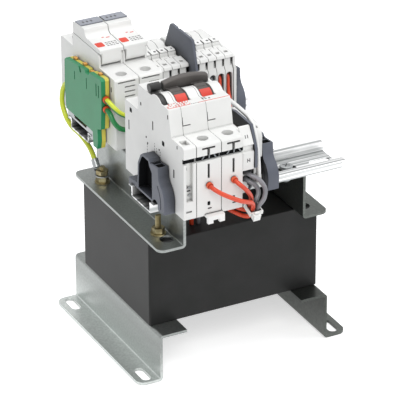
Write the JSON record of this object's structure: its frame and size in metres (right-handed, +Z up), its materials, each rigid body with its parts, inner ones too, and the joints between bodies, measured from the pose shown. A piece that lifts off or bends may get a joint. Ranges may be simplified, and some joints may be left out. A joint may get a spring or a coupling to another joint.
{
  "type": "chassis mounted control transformer",
  "caption": "Potted control transformer on folded steel feet, with two rails on top that carry a breaker, fuse drawers, terminal blocks and their wiring.",
  "frame": {"origin": "middle of the overall bottom, on the floor under the feet", "axes": "+Z up, +X along the rails, -Y towards the side with the breaker and the cable tie"},
  "size_m": [0.1566, 0.2048, 0.211],
  "materials": {
    "galvanised_sheet": "galvanised, dull grey-green",
    "potting_charcoal": "satin cast resin",
    "core_steel": "stacked laminations",
    "former_plastic": "moulded",
    "copper_enamel": "enamelled copper",
    "zinc_steel": "bright zinc",
    "yellow_zinc": "yellow zinc",
    "light_grey_plastic": "satin moulded",
    "dark_grey_plastic": "satin moulded",
    "black_plastic": "moulded",
    "red_plastic": "moulded",
    "green_plastic": "satin moulded",
    "yellow_plastic": "satin moulded",
    "red_insulation": "extruded",
    "grey_insulation": "extruded",
    "white_insulation": "extruded",
    "green_yellow_insulation": "extruded, two-coloured",
    "white_nylon": "moulded",
    "ceramic_white": "glazed"
  },
  "bodies": {
    "chassis": {"foot_left": "galvanised_sheet", "foot_right": "galvanised_sheet", "rail_bracket_left": "galvanised_sheet", "rail_bracket_right": "galvanised_sheet", "potted_block": "potting_charcoal", "e_laminations": "core_steel", "i_laminations": "core_steel", "coil_former": "former_plastic", "primary_winding": "copper_enamel", "secondary_winding": "copper_enamel", "through_bolts": "zinc_steel", "bolt_washers": "zinc_steel", "bolt_nuts": "yellow_zinc", "front_rail": "zinc_steel", "rear_rail": "zinc_steel", "rail_screws": "zinc_steel", "rail_nuts": "zinc_steel", "end_clamp_front_left": "dark_grey_plastic", "end_clamp_front_right": "dark_grey_plastic", "end_clamp_rear": "dark_grey_plastic", "clamp_screws": "zinc_steel", "contact_housing": "light_grey_plastic", "breaker_pole_left": "light_grey_plastic", "breaker_pole_right": "light_grey_plastic", "breaker_terminal_screws": "zinc_steel", "front_terminal_1": "light_grey_plastic", "front_end_plate": "dark_grey_plastic", "front_terminal_2": "light_grey_plastic", "front_terminal_3": "light_grey_plastic", "earth_terminal_green": "green_plastic", "earth_terminal_yellow": "yellow_plastic", "earth_terminal_foot": "zinc_steel", "fuse_base_left": "light_grey_plastic", "fuse_base_right": "light_grey_plastic", "fuse_terminal_screws": "zinc_steel", "rear_terminals_left": "light_grey_plastic", "rear_terminals_right": "light_grey_plastic", "partition_plate": "dark_grey_plastic", "rear_end_plate": "light_grey_plastic", "breaker_wires": "red_insulation", "grey_wires": "grey_insulation", "white_wire": "white_insulation", "rear_wire_grey": "grey_insulation", "rear_wires_red": "red_insulation", "earth_wires": "green_yellow_insulation", "bond_wire": "green_yellow_insulation", "ring_terminal": "zinc_steel", "wire_sleeves": "red_plastic", "cable_tie": "white_nylon"},
    "handle": {"breaker_handle": "black_plastic", "breaker_position_flags": "red_plastic"},
    "toggle": {"contact_toggle": "black_plastic"},
    "drawer_left": {"fuse_drawer_left": "light_grey_plastic", "fuse_link_left": "ceramic_white"},
    "drawer_right": {"fuse_drawer_right": "light_grey_plastic", "fuse_link_right": "ceramic_white"},
    "breaker_clip": {"breaker_rail_clip": "white_nylon"},
    "fuse_clip": {"fuse_rail_clip": "white_nylon"}
  },
  "joints": [
    {"name": "handle_hinge", "type": "hinge", "parent": "chassis", "child": "handle", "pos_m": [-0.0343, -0.05309, 0.195], "axis": [1, 0, 0], "range_deg": [0, 80]},
    {"name": "toggle_hinge", "type": "hinge", "parent": "chassis", "child": "toggle", "pos_m": [-0.0583, -0.05309, 0.195], "axis": [1, 0, 0], "range_deg": [0, 80]},
    {"name": "drawer_left_hinge", "type": "hinge", "parent": "chassis", "child": "drawer_left", "pos_m": [-0.0467, 0.04591, 0.1902], "axis": [1, 0, 0], "range_deg": [0, 90]},
    {"name": "drawer_right_hinge", "type": "hinge", "parent": "chassis", "child": "drawer_right", "pos_m": [-0.029, 0.04591, 0.1902], "axis": [1, 0, 0], "range_deg": [0, 90]},
    {"name": "breaker_clip_slide", "type": "slide", "parent": "chassis", "child": "breaker_clip", "axis": [0, -1, 0], "range_m": [0, 0.004]},
    {"name": "fuse_clip_slide", "type": "slide", "parent": "chassis", "child": "fuse_clip", "axis": [0, -1, 0], "range_m": [0, 0.004]}
  ],
  "couplings": [
    {"joint": "toggle_hinge", "follows": "handle_hinge", "ratio": 1}
  ]
}
